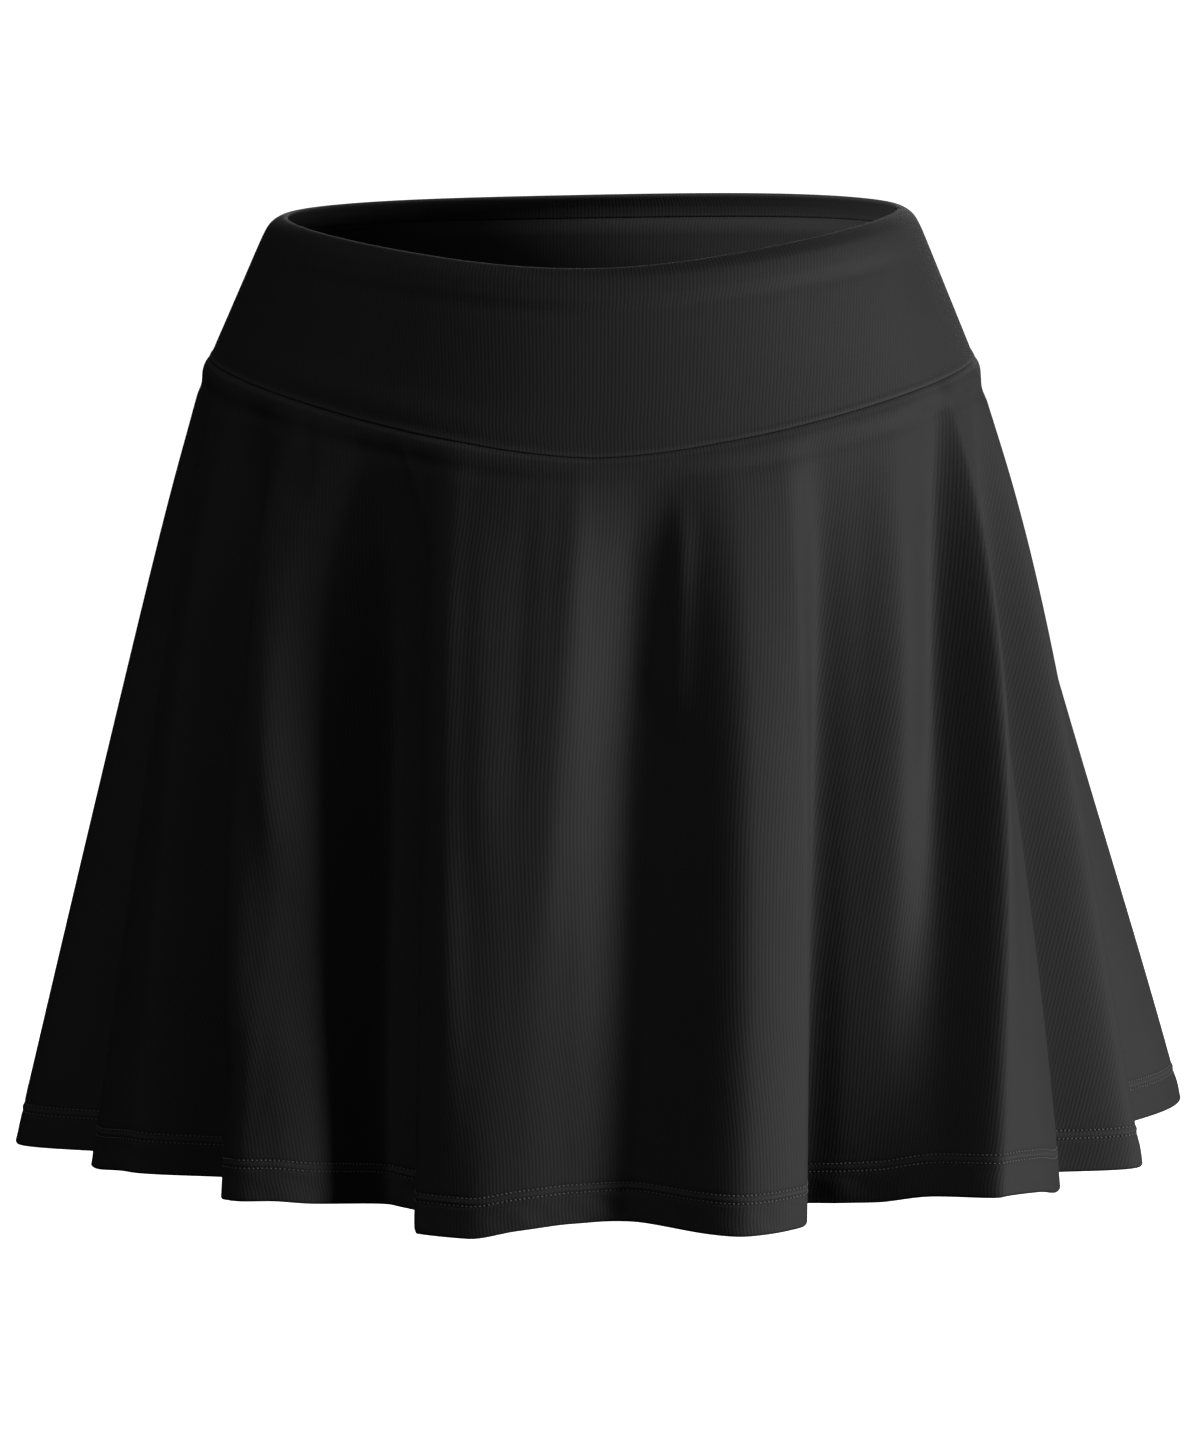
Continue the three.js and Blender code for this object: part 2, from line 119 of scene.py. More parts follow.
# Soft ridges and troughs that are too shallow for the fold table. Each runs from one angle and
# share of the skirt's drop to another; a trough has a height below zero.
SoftLine = namedtuple("SoftLine", "name top_angle top_drop low_angle low_drop width height")
SOFT_LINES = [SoftLine(*row) for row in (
    ("right upper ridge", -19, 0.12, -16, 0.50, 0.009, 0.0010),
    ("right upper trough", -11, 0.10, -11, 0.42, 0.007, -0.0006),
    ("middle upper ridge", -3, 0.10, -6, 0.60, 0.008, 0.0014),
    ("right front upper ridge", -53, 0.12, -41, 0.55, 0.009, 0.0040),
    ("right front lower ridge", -52, 0.38, -43, 0.80, 0.013, 0.0044),
    ("right middle long ridge", -23.5, 0.13, -18.6, 0.80, 0.008, 0.0026),
    ("left of centre ridge", 15.5, 0.10, 13, 0.34, 0.006, 0.0019),
    ("left upper ridge", 52, 0.14, 46, 0.50, 0.010, 0.0010),
    ("right lengthwise crease", -41, 0.66, -41, 1.10, 0.0016, 0.0004),
    ("right tuck ridge", -34, 0.03, -28, 0.13, 0.0028, 0.0011),
    ("right tuck trough", -42, 0.03, -38, 0.13, 0.0040, -0.0012),
    ("right outer tuck trough", -51, 0.03, -48, 0.12, 0.0045, -0.0012),
)]

# Soft boxes that face the garment: degrees from centre front and above level, size, and a share
# of the key or the fill power. The inside ones light only what shows inside the waist.
Lamp = namedtuple("Lamp", "name azimuth elevation width height share power inside")
LAMPS = [Lamp(*row) for row in (
    ("key_light", 73, 4, 1.0, 0.4, 1.1, "key_power", False),
    ("front_fill", -34, 12, 1.6, 1.6, 1.1, "fill_power", False),
    ("top_fill", -30, 75, 1.6, 1.6, 1.6, "fill_power", False),
    ("back_fill", 170, 20, 1.6, 1.6, 4, "fill_power", False),
    ("opening_light", -66, 18, 1.0, 0.8, 0.9, "key_power", True),
    ("inside_fill", 0, 50, 0.8, 0.8, 0.07, "key_power", True),
)]
LIGHT_DISTANCE = 2.6
VIEW_SHIFT = 1 / 180         # the garment stands a little left of the picture's middle

EDGE_SHOULDER_REACH = 0.035  # share of the yoke's depth in which its top edge rolls over
SEAM_POINT_HALF_ANGLE = math.radians(24)
FLARE_START = 0.05           # share of the skirt's drop before its flare begins in full
BELLY_PLACE = 1 / 3          # share of the drop where a fold line bows out the most
SIDE_SEAM_ANGLE = 90
SIDE_GROOVE_WIDTH = 0.0014
EDGE_RADIUS = 0.0006         # how far in from its side edges a panel's wall rounds off
LEAST_THICKNESS = 0.12       # the share of the wall's thickness that is left at those edges
SEWN_ROUNDNESS = 0.2         # how little an edge is rounded where it is sewn to the next piece
YOKE_RADIUS = 0.13           # rough radii that turn angles into lengths
SKIRT_TOP_RADIUS = 0.15
SOFT_LINE_RADIUS = 0.17
SKIRT_LOW_RADIUS = 0.22
HEM_RADIUS = 0.2

ELASTIC_FULL = 0.35          # shares of the band's depth
ELASTIC_THINS = 0.4
BAND_STEP = 0.003            # shares of the yoke's depth: where the band's double cloth has ended,
FACING_START = 0.0045        # where the facing starts below the band, and where it ends
FACING_END = 0.98
FACING_EASE = 0.06
YOKE_LIP_START = 0.93
FINE_TOP = 0.05              # shares of the skirt's depth: its rows are closer above FINE_TOP
FINE_LOW = 0.92
TURN_UP_CLEAR = 0.004        # the single cloth ends this share above the turn-up, and the double
TURN_UP_START = 0.0025       # cloth starts at this one
BAND_CLEAR = 0.0012          # how far below the band its ridge falls away, more at the middle
BAND_SAG = 0.0010
BAND_SAG_SPREAD = 0.3
BAND_EASE = 0.0022           # half the width in which the elastic's ridge falls away
BAND_GROOVE_DEPTH = 0.0005
BAND_GROOVE_WIDTH = 0.0020
LIP_HEIGHT = 0.0005          # the yoke's soft lip just above its seam
LIP_SHARE = 0.045
ROLL_HEIGHT = 0.0014         # a soft roll above the seam on the wearer's right
ROLL_ANGLE = -0.75
ROLL_SPREAD = 0.42
ROLL_UP = 0.008
ROLL_WIDTH = 0.0055
UNDER_WELT_DEPTH = 0.0008    # the skirt's shallow dip below the yoke seam
UNDER_WELT_DROP = 0.0105
UNDER_WELT_WIDTH = 0.0035
CHANNEL_DEPTH = 0.0005       # the channels that the hem's stitches pull in, and the welt between
CHANNEL_WIDTH = 0.0007
WELT_HEIGHT = 0.0003
WELT_WIDTH = 0.0010
STITCH_RISE = 0.3            # how far a stitch stands out, as a share of its thread
PUFF_HEIGHT = 0.0004         # the uneven puffs of the hem's turned-up band


# ---------------------------------------------------------------- settings


def length(name, description, default):
    """A length that a user may change."""
    return FloatProperty(
        name=name, description=description, default=default, min=0.0, precision=4, unit="LENGTH"
    )


def share(name, description, default):
    """A number from 0 to 1 that a user may change."""
    return FloatProperty(name=name, description=description, default=default, min=0.0, max=1.0)


def power(name, description, default):
    """A light's power that a user may change."""
    return FloatProperty(name=name, description=description, default=default, min=0, unit="POWER")


def colour(name, description, default):
    """A colour that a user may change."""
    return FloatVectorProperty(
        name=name, description=description, default=default, size=4, min=0, max=1, subtype="COLOR"
    )


class ClothSizes(bpy.types.PropertyGroup):
    """What all the panels share."""

    thickness: length("Cloth", "Thickness of one layer of jersey", 0.0012)
    seam_gap: length("Seam gap", "Clearance between pieces sewn edge to face", 0.0002)
    side_gap: length("Side gap", "Clearance between pieces sewn edge to edge", 0.000004)
    seam_groove: length("Seam groove", "How deep the cloth dips at a side seam", 0.0005)


class YokeSizes(bpy.types.PropertyGroup):
    """The wide waistband."""

    waist_half_width: length("Waist half width", "Top edge, side to side", 0.1205)
    waist_half_depth: length("Waist half depth", "Top edge, front to back", 0.090)
    seam_half_width: length(
        "Seam half width", "Yoke seam, side to side", round(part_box("yoke_front")[1].x, 4)
    )
    seam_half_depth: length(
        "Seam half depth", "Yoke seam, front to back", round(-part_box("yoke_front")[0].y, 4)
    )
    side_depth: length("Side depth", "From the top edge down to the seam at the sides", 0.0575)
    edge_shoulder: length("Edge shoulder", "How far the rolled top edge stands in", 0.006)
    waist_front_dip: length("Waist front dip", "How far the top edge dips at the front", 0.013)
    waist_back_dip: length("Waist back dip", "How far the top edge dips at the back", 0.002)
    waist_tilt: length("Waist tilt", "How much higher the wearer's left side stands", 0.0018)
    seam_front_dip: length("Seam front dip", "How far the seam dips at the front", 0.024)
    seam_back_dip: length("Seam back dip", "How far the seam dips at the back", 0.009)
    seam_point_dip: length("Seam point", "Depth of the seam's point at centre front", 0.0015)
    band_depth: length("Band depth", "How far the cloth is turned over the elastic", 0.012)
    band_height: length("Band height", "How far the elastic stands proud outside", 0.0012)
    elastic: length("Elastic", "Thickness of the elastic inside the band", 0.0008)


class SkirtSizes(bpy.types.PropertyGroup):
    """The circle-cut skirt."""

    hem_drop: length("Hem drop", "From the top edge at the sides down to the hem", 0.3695)
    bulge: length("Bulge", "How far the skirt stands out just under the yoke seam", 0.0032)
    bulge_drop: length("Bulge drop", "How soon below the seam it does so", 0.0024)
    turn_up: length("Turn-up", "Depth of the hem's turn-up", 0.016)


class ShortsSizes(bpy.types.PropertyGroup):
    """The inner shorts."""

    hip_half_width: length("Hip half width", "Hips, side to side", 0.149)
    hip_half_depth: length("Hip half depth", "Hips, front to back", 0.110)
    crotch_drop: length("Crotch drop", "From the top edge down to the crotch", 0.260)
    leg_drop: length("Leg drop", "From the top edge down to the leg hems", 0.323)
    leg_spread: length("Leg spread", "How far a leg moves out from crotch to hem", 0.008)
    leg_half_width: length("Leg half width", "A leg, side to side", 0.074)
    leg_half_depth: length("Leg half depth", "A leg, front to back", 0.088)
    wall: length("Wall", "Thickness of the shorts' cloth", 0.0016)


class StitchSizes(bpy.types.PropertyGroup):
    """The twin rows that hold the hem."""

    pitch: length("Pitch", "From one stitch to the next", 0.0017)
    stitch: length("Stitch", "Length of a stitch that shows", 0.0010)
    thread: length("Thread", "Thickness of the thread", 0.0006)
    row_height: length("Row height", "Lower row above the hem's edge", 0.0128)
    row_gap: length("Row gap", "Between the two rows", 0.0031)


class ClothFinish(bpy.types.PropertyGroup):
    """Colours and knit."""

    jersey: colour("Jersey", "Colour of the skirt and the yoke", (0.023, 0.023, 0.0233, 1))
    lining: colour("Lining", "Colour of the facing and the shorts", (0.023, 0.023, 0.0233, 1))
    thread: colour("Thread", "Colour of the stitches", (0.15, 0.15, 0.153, 1))
    wale_pitch: length("Wale pitch", "From one knitted rib to the next", 0.0014)
    course_pitch: length("Course pitch", "From one knitted row to the next", 0.00075)
    relief: length("Relief", "Depth of the knit", 0.00013)
    sheen: share("Sheen", "Strength of the soft sheen", 0.02)


class StageSizes(bpy.types.PropertyGroup):
    """Floor, lights and camera."""

    floor_drop: length("Floor drop", "From the waist down to the floor", 0.75)
    floor_reach: length("Floor reach", "Half the floor's width", 40.0)
    view_distance: length("View distance", "From the camera to its target", 2.6)
    view_drop: length("View drop", "From the waist down to the camera's target", 0.2045)
    view_elevation: FloatProperty(
        name="View elevation", description="Height of the camera's view above level",
        default=math.radians(10), subtype="ANGLE", unit="ROTATION",
    )
    lens: FloatProperty(name="Lens", description="Focal length in mm", default=162.5, min=10)
    key_power: power("Key power", "Power of the key light", 62)
    fill_power: power("Fill power", "Power of a fill light", 4)


# ---------------------------------------------------------------- small helpers


def mix(low, high, portion):
    return low + (high - low) * portion


def smooth_step(low, high, value):
    portion = np.clip((value - low) / (high - low), 0.0, 1.0)
    return portion * portion * (3 - 2 * portion)


def hump(distance, width):
    """1 in the middle, falling softly to nothing at about twice the width."""
    return np.exp(-((distance / width) ** 2))


def ellipse_reach(half_width, half_depth, angle):
    """From the middle to an ellipse, in the direction of an angle from centre front."""
    return 1 / np.hypot(np.sin(angle) / half_width, np.cos(angle) / half_depth)


def deselect_all():
    for chosen in list(bpy.context.selected_objects):
        chosen.select_set(False)


def at_angle(angle, reach, height):
    points = np.broadcast_arrays(reach * np.sin(angle), -reach * np.cos(angle), height)
    return np.stack(points, axis=-1)


def dip(angle, front, back):
    """How far a ring dips below its level at the sides."""
    facing = np.cos(angle)
    return np.where(facing > 0, front, back) * np.abs(facing) ** 1.8


def turn_between(angle, other):
    """From -180 to 180 degrees."""
    return np.remainder(angle - other + 180, 360) - 180


def lengths_along(points):
    """Length from the first point of each row to every point."""
    steps = np.linalg.norm(np.diff(points, axis=-2), axis=-1)
    start = np.zeros(steps.shape[:-1] + (1,))
    return np.concatenate([start, np.cumsum(steps, axis=-1)], axis=-1)


def fold_curve(column, grows=False):
    """Smooth ring through the fold lines, level at each crest and trough. It reads them by their
    hem angle in degrees. A ring of angles goes on growing from turn to turn."""
    hems = np.array([line.hem for line in FOLD_LINES], float)
    rows = np.array([getattr(line, column) for line in FOLD_LINES], float)
    growth = 360.0 if grows else 0.0
    angles = np.concatenate([hems[-2:] - 360, hems, hems[:2] + 360])
    values = np.concatenate([rows[-2:] - growth, rows, rows[:2] + growth])
    spans = np.diff(angles)
    rises = np.diff(values) / spans
    before = np.concatenate([rises[:1], rises])
    after = np.concatenate([rises, rises[-1:]])
    same_way = before * after > 0
    total = np.where(same_way, before + after, 1.0)
    slopes = np.where(same_way, 2 * before * after / total, 0.0)

    def curve(hem_angle):
        turns = np.floor((hem_angle - hems[0]) / 360)
        angle = hem_angle - turns * 360
        index = np.searchsorted(angles, angle, side="right") - 1
        span = spans[index]
        t = (angle - angles[index]) / span
        return (
            turns * growth
            + values[index] * (1 + 2 * t) * (1 - t) ** 2
            + slopes[index] * span * t * (1 - t) ** 2
            + values[index + 1] * t * t * (3 - 2 * t)
            + slopes[index + 1] * span * t * t * (t - 1)
        )

    return curve


# ---------------------------------------------------------------- the garment's own sheets


class YokeForm:
    """The yoke's outer face. down is 0 at the top edge and 1 at the seam; angles are radians."""

    def __init__(self, scene):
        self.sizes = scene.skort_yoke
        self.cloth = scene.skort_cloth

    def edge_height(self, angle):
        sizes = self.sizes
        tilt = sizes.waist_tilt * np.sin(angle)
        return tilt - dip(angle, sizes.waist_front_dip, sizes.waist_back_dip)

    def seam_height(self, angle):
        sizes = self.sizes
        from_front = np.abs(np.arctan2(np.sin(angle), np.cos(angle)))
        point = np.maximum(0.0, 1 - from_front / SEAM_POINT_HALF_ANGLE)
        low = dip(angle, sizes.seam_front_dip, sizes.seam_back_dip)
        return -sizes.side_depth - low - sizes.seam_point_dip * point

    def depth(self, angle):
        return self.edge_height(angle) - self.seam_height(angle)

    def relief(self, angle, down):
        """The elastic's soft ridge, stronger on the wearer's left and gone at the sides, the lip
        above the seam and the dips at the side seams."""
        sizes = self.sizes
        drop = down * self.depth(angle)
        band_end = sizes.band_depth + BAND_CLEAR + BAND_SAG * hump(angle, BAND_SAG_SPREAD)
        from_middle = np.arctan2(np.sin(angle), np.abs(np.cos(angle)))
        strength = mix(0.4, 1.0, smooth_step(-0.9, 0.0, from_middle))
        strength = strength * (1 - smooth_step(0.85, 1.45, np.abs(from_middle)))
        rise = smooth_step(0.0005, 0.0045, drop)
        fall = smooth_step(band_end - BAND_EASE, band_end + BAND_EASE, drop)
        ridge = sizes.band_height * rise * (1 - fall)
        groove = BAND_GROOVE_DEPTH * hump(drop - band_end - BAND_EASE, BAND_GROOVE_WIDTH)
        lip = LIP_HEIGHT * smooth_step(1 - LIP_SHARE, 1, down)
        side = self.cloth.seam_groove * hump(np.cos(angle) * YOKE_RADIUS, SIDE_GROOVE_WIDTH)
        below_roll = drop - self.depth(angle) + ROLL_UP
        roll = ROLL_HEIGHT * hump(angle - ROLL_ANGLE, ROLL_SPREAD) * hump(below_roll, ROLL_WIDTH)
        return strength * (ridge - groove) + lip - side + roll

    def face(self, angle, down):
        sizes = self.sizes
        roll = sizes.edge_shoulder * (1 - np.exp(-down / EDGE_SHOULDER_REACH))
        low_width = sizes.seam_half_width - sizes.edge_shoulder
        low_depth = sizes.seam_half_depth - sizes.edge_shoulder
        half_width = mix(sizes.waist_half_width, low_width, down) + roll
        half_depth = mix(sizes.waist_half_depth, low_depth, down) + roll
        height = mix(self.edge_height(angle), self.seam_height(angle), down)
        reach = ellipse_reach(half_width, half_depth, angle) + self.relief(angle, down)
        return at_angle(angle, reach, height)


class SkirtForm:
    """The skirt's outer face, in hem degrees. down is 0 at the yoke seam and 1 at the hem."""

    def __init__(self, scene):
        self.sizes = scene.skort_skirt
        self.cloth = scene.skort_cloth
        self.stitches = scene.skort_stitches
        self.yoke = YokeForm(scene)
        self.seam_angle = fold_curve("seam", grows=True)
        self.reach = fold_curve("reach")
        self.belly = fold_curve("belly")
        self.lift = fold_curve("lift")
        self.drop = self.sizes.hem_drop - self.yoke.sizes.side_depth

    def hem_angle_of(self, seam_angle):
        """The hem degrees of the line that leaves the yoke seam at the given degrees."""
        low, high = seam_angle - 30.0, seam_angle + 30.0
        for _ in range(40):
            middle = (low + high) / 2
            if self.seam_angle(middle) < seam_angle:
                low = middle
            else:
                high = middle
        return (low + high) / 2

    def side_angles(self):
        """Hem degrees of the two side seams: the wearer's right, then left."""
        right = self.hem_angle_of(360 - SIDE_SEAM_ANGLE) - 360
        return right, self.hem_angle_of(SIDE_SEAM_ANGLE)

    def soft_lines(self, angle, down):
        """The shallow ridges and troughs, at an angle in degrees."""
        total = 0.0
        for line in SOFT_LINES:
            along = (down - line.top_drop) / (line.low_drop - line.top_drop)
            middle = mix(line.top_angle, line.low_angle, np.clip(along, -0.3, 1.3))
            aside = np.radians(turn_between(angle, middle)) * SOFT_LINE_RADIUS
            window = smooth_step(-0.25, 0.15, along) * (1 - smooth_step(0.8, 1.25, along))
            total = total + line.height * hump(aside, line.width) * window
        return total

    def hem_relief(self, hem_angle, down):
        """The stitched rows' shallow channel and the uneven puffs of the turned-up band."""
        up = (1 - down) * self.drop
        stitches = self.stitches
        low_row = stitches.row_height
        high_row = low_row + stitches.row_gap
        channels = hump(up - low_row, CHANNEL_WIDTH) + hump(up - high_row, CHANNEL_WIDTH)
        welt = WELT_HEIGHT * hump(up - (low_row + high_row) / 2, WELT_WIDTH)
        arc = np.radians(hem_angle) * HEM_RADIUS
        lean = arc + 0.9 * up
        puffs = np.sin(lean / 0.0031) * np.sin(lean / 0.0137 + 1.0)
        puffs = puffs + 0.6 * np.sin(lean / 0.0052 + 2.0)
        uneven = 0.5 + 0.5 * np.sin(arc / 0.029 + 0.7) * np.sin(arc / 0.011)
        in_band = smooth_step(0.0, 0.004, up) * (1 - smooth_step(0.008, 0.0125, up))
        above = 0.35 * hump(up - 0.021, 0.004)
        puffed = PUFF_HEIGHT * puffs * uneven * (in_band + above)
        return welt - CHANNEL_DEPTH * channels + puffed

    def relief(self, hem_angle, angle, down):
        height = down * self.drop
        under_welt = UNDER_WELT_DEPTH * hump(height - UNDER_WELT_DROP, UNDER_WELT_WIDTH)
        right, left = (np.abs(turn_between(hem_angle, side)) for side in self.side_angles())
        radius = mix(SKIRT_TOP_RADIUS, SKIRT_LOW_RADIUS, down)
        aside = np.radians(np.minimum(right, left)) * radius
        side = self.cloth.seam_groove * hump(aside, SIDE_GROOVE_WIDTH)
        return (
            self.soft_lines(np.degrees(angle), down)
            + self.hem_relief(hem_angle, down)
            - under_welt
            - side
        )

    def face(self, hem_angle, down):
        seam_angle = np.radians(self.seam_angle(hem_angle))
        angle = mix(seam_angle, np.radians(hem_angle), down)
        top = self.yoke.seam_height(seam_angle) - self.cloth.seam_gap
        height = mix(top, self.lift(hem_angle) - self.sizes.hem_drop, down)
        bulge = self.sizes.bulge * (1 - np.exp((height - top) / self.sizes.bulge_drop))
        yoke = self.yoke.sizes
        seam_reach = ellipse_reach(yoke.seam_half_width, yoke.seam_half_depth, seam_angle) + bulge
        flare = down * (1 - np.exp(-down / FLARE_START))
        straight = mix(seam_reach, self.reach(hem_angle), flare)
        peak = BELLY_PLACE * (1 - BELLY_PLACE) ** 2
        bowed = self.belly(hem_angle) * down * (1 - down) ** 2 / peak
        reach = straight + bowed + self.relief(hem_angle, angle, down)
        return at_angle(angle, reach, height)


class ShortsForm:
    """The wearer's left half of the inner shorts. around is 0 at centre front, 0.5 at the side
    and 1 at centre back. down is 0 at the yoke seam, 1 at the crotch and 2 at the leg hem."""

    crotch_lift = 0.090      # turns the wall upwards where the cloth passes under the crotch

    def __init__(self, scene):
        self.sizes = scene.skort_shorts
        self.cloth = scene.skort_cloth
        self.yoke = YokeForm(scene)

    def leg_centre(self, down):
        sizes = self.sizes
        spread = sizes.leg_spread * np.maximum(0.0, down - 1)
        return sizes.leg_half_width + self.cloth.side_gap / 2 + spread

    def face(self, around, down):
        sizes = self.sizes
        body = np.minimum(down, 1.0)
        curl = body * math.pi / 2
        angle = math.pi * around
        inset = self.cloth.thickness + 2 * self.cloth.seam_gap
        ring_width = mix(self.yoke.sizes.seam_half_width - inset, sizes.hip_half_width, body)
        ring_depth = mix(self.yoke.sizes.seam_half_depth - inset, sizes.hip_half_depth, body)
        ring_reach = ellipse_reach(ring_width, ring_depth, angle)
        ring_x = np.maximum(ring_reach * np.sin(angle), self.cloth.side_gap / 2)
        ring_y = -ring_reach * np.cos(angle)
        leg_turn = around * self.cloth.side_gap / sizes.leg_half_width
        leg_angle = np.radians(mix(-90, 270, around)) - leg_turn
        leg_x = self.leg_centre(down) + sizes.leg_half_width * np.sin(leg_angle)
        leg_y = -sizes.leg_half_depth * np.cos(leg_angle)
        becomes_leg = 1 - np.cos(curl)
        top = self.yoke.seam_height(angle) - self.cloth.seam_gap
        body_height = mix(top, -sizes.crotch_drop, np.sin(curl))
        leg_height = mix(-sizes.crotch_drop, -sizes.leg_drop, down - 1)
        height = np.where(down <= 1, body_height, leg_height)
        points = np.broadcast_arrays(
            mix(ring_x, leg_x, becomes_leg), mix(ring_y, leg_y, becomes_leg), height
        )
        return np.stack(points, axis=-1)

    def under(self, outer, down, depth):
        """Points at a depth inside the outer ones, towards the middle of the leg."""
        body = np.minimum(down, 1.0)
        middle = np.zeros_like(outer)
        middle[..., 0] = self.leg_centre(down)
        middle[..., 2] = outer[..., 2] + self.crotch_lift * body**4 * (2 - down)
        inwards = middle - outer
        inwards /= np.linalg.norm(inwards, axis=-1, keepdims=True)
        return outer + inwards * depth


class FlatCut:
    """A panel as it is cut: part of a ring, wider at its lower edge, with the grain down its
    middle. turned is the cloth folded under at its top and low edges."""

    def __init__(self, top_arc, low_arc, length_down, turned_top=0.0, turned_low=0.0):
        self.spread = (low_arc - top_arc) / length_down
        self.top_radius = top_arc / self.spread
        self.length_down = length_down
        first = self.top_radius - turned_top
        last = self.top_radius + length_down + turned_low
        self.width = 2 * last * math.sin(min(self.spread, math.pi) / 2)
        self.length = last - first * math.cos(self.spread / 2)
        self.area = self.spread * (last**2 - first**2) / 2

    def place(self, portion, down):
        """Where a place on the panel lies in its flat cut."""
        radius = self.top_radius + self.length_down * down
        turn = self.spread * (portion - 0.5)
        return np.stack([radius * np.sin(turn), -radius * np.cos(turn)], axis=-1)


# ---------------------------------------------------------------- from sheets to walls of cloth

# One row down a panel: its place on the sheet, and how deep its outer and inner faces lie.
Row = namedtuple("Row", "down outer inner")


def outward_normals(face, across, down, across_step, down_step):
    """Unit normals of a sheet's face."""
    upper = np.maximum(down - down_step, 0.0)
    lower = np.minimum(down + down_step, 1.0)
    sideways = face(across + across_step, down) - face(across - across_step, down)
    fall = face(across, lower) - face(across, upper)
    normal = np.cross(fall, sideways)
    return normal / np.linalg.norm(normal, axis=-1, keepdims=True)


def rounded_rows(end, inwards, thickness, length_down, roundness=0.5):
    """Rows that round off the wall's end, by a share of its thickness."""
    radius = thickness * roundness
    rows = []
    for degrees in (0, 18, 36, 54, 70, 82):
        turn = math.radians(degrees)
        depth = radius * (1 - math.cos(turn))
        place = end + inwards * (1 - math.sin(turn)) * radius / length_down
        rows.append(Row(place, depth, thickness - depth))
    return rows if inwards < 0 else rows[::-1]


def even_rows(first, last, count, thickness):
    """Rows of plain cloth from one place on the sheet to another, without the first."""
    return [Row(float(down), 0.0, thickness) for down in np.linspace(first, last, count)[1:]]


def columns_with_edges(first, last, count, unit):
    """Even places across a panel, closer at its two edges where they round off, and how much of
    the wall's thickness is left at each. unit is one metre in the panel's own measure."""
    radius = EDGE_RADIUS
    steps = np.array([0.0, 0.06, 0.16, 0.32, 0.52, 0.76]) * radius
    even = np.linspace(first + radius * unit, last - radius * unit, count)
    places = np.concatenate([first + steps * unit, even, last - steps[::-1] * unit])
    from_edge = np.minimum(places - first, last - places) / unit
    portion = np.clip(from_edge / radius, 0.0, 1.0)
    thickness = np.sqrt(np.maximum(1 - (1 - portion) ** 2, 0.0))
    return places, np.maximum(thickness, LEAST_THICKNESS)


def wall_grids(face, across, left_over, rows, middle, across_step, down_step):
    """Outer and inner points of a panel. left_over squeezes the wall at the panel's edges."""
    down = np.array([row.down for row in rows])[:, None]
    outer = np.array([row.outer for row in rows])[:, None]
    inner = np.array([row.inner for row in rows])[:, None]
    across = across[None, :]
    surface = face(across, down)
    normals = outward_normals(face, across, down, across_step, down_step)
    outer, inner = (mix(middle, depth, left_over)[..., None] for depth in (outer, inner))
    return surface - normals * outer, surface - normals * inner


def wall_mesh(name, outer, inner, flat, painted_highlight):
    """A closed wall between two grids of points, with its flat cut as its UV map. The last argument
    says how much the outer face's colour is painted lighter on each row, from 0 to 1: a painted
    highlight."""
    rows, columns = outer.shape[:2]
    grid = np.arange(rows * columns).reshape(rows, columns)
    under = grid + rows * columns

    def quads(a, b, c, d):
        return np.stack([a.ravel(), b.ravel(), c.ravel(), d.ravel()], axis=-1)

    faces = np.concatenate([
        quads(grid[:-1, :-1], grid[1:, :-1], grid[1:, 1:], grid[:-1, 1:]),
        quads(under[:-1, :-1], under[:-1, 1:], under[1:, 1:], under[1:, :-1]),
        quads(grid[:-1, 0], under[:-1, 0], under[1:, 0], grid[1:, 0]),
        quads(grid[:-1, -1], grid[1:, -1], under[1:, -1], under[:-1, -1]),
        quads(grid[0, :-1], grid[0, 1:], under[0, 1:], under[0, :-1]),
        quads(grid[-1, :-1], under[-1, :-1], under[-1, 1:], grid[-1, 1:]),
    ])
    points = np.concatenate([outer.reshape(-1, 3), inner.reshape(-1, 3)])
    flat = np.tile(flat.reshape(-1, 2), (2, 1))
    mesh = bpy.data.meshes.new(name)
    mesh.from_pydata(points.tolist(), [], faces.tolist())
    uv_map = mesh.uv_layers.new(name="flat_cut")
    uv_map.data.foreach_set("uv", flat[faces.ravel()].astype(np.float32).ravel())
    mesh.polygons.foreach_set("use_smooth", np.ones(len(faces), bool))
    marks = np.zeros(len(points))
    marks[:rows * columns] = np.repeat(painted_highlight, columns)
    mesh.attributes.new("painted_highlight", "FLOAT", "POINT").data.foreach_set("value", marks)
    mesh.update()
    return mesh


def add_piece(name, mesh, material, stands_for):
    """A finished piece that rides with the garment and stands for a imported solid."""
    mesh.materials.append(material)
    piece = bpy.data.objects.new(name, mesh)
    bpy.context.scene.collection.objects.link(piece)
    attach(piece, "root")
    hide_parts(stands_for)
    return piece


# ---------------------------------------------------------------- materials


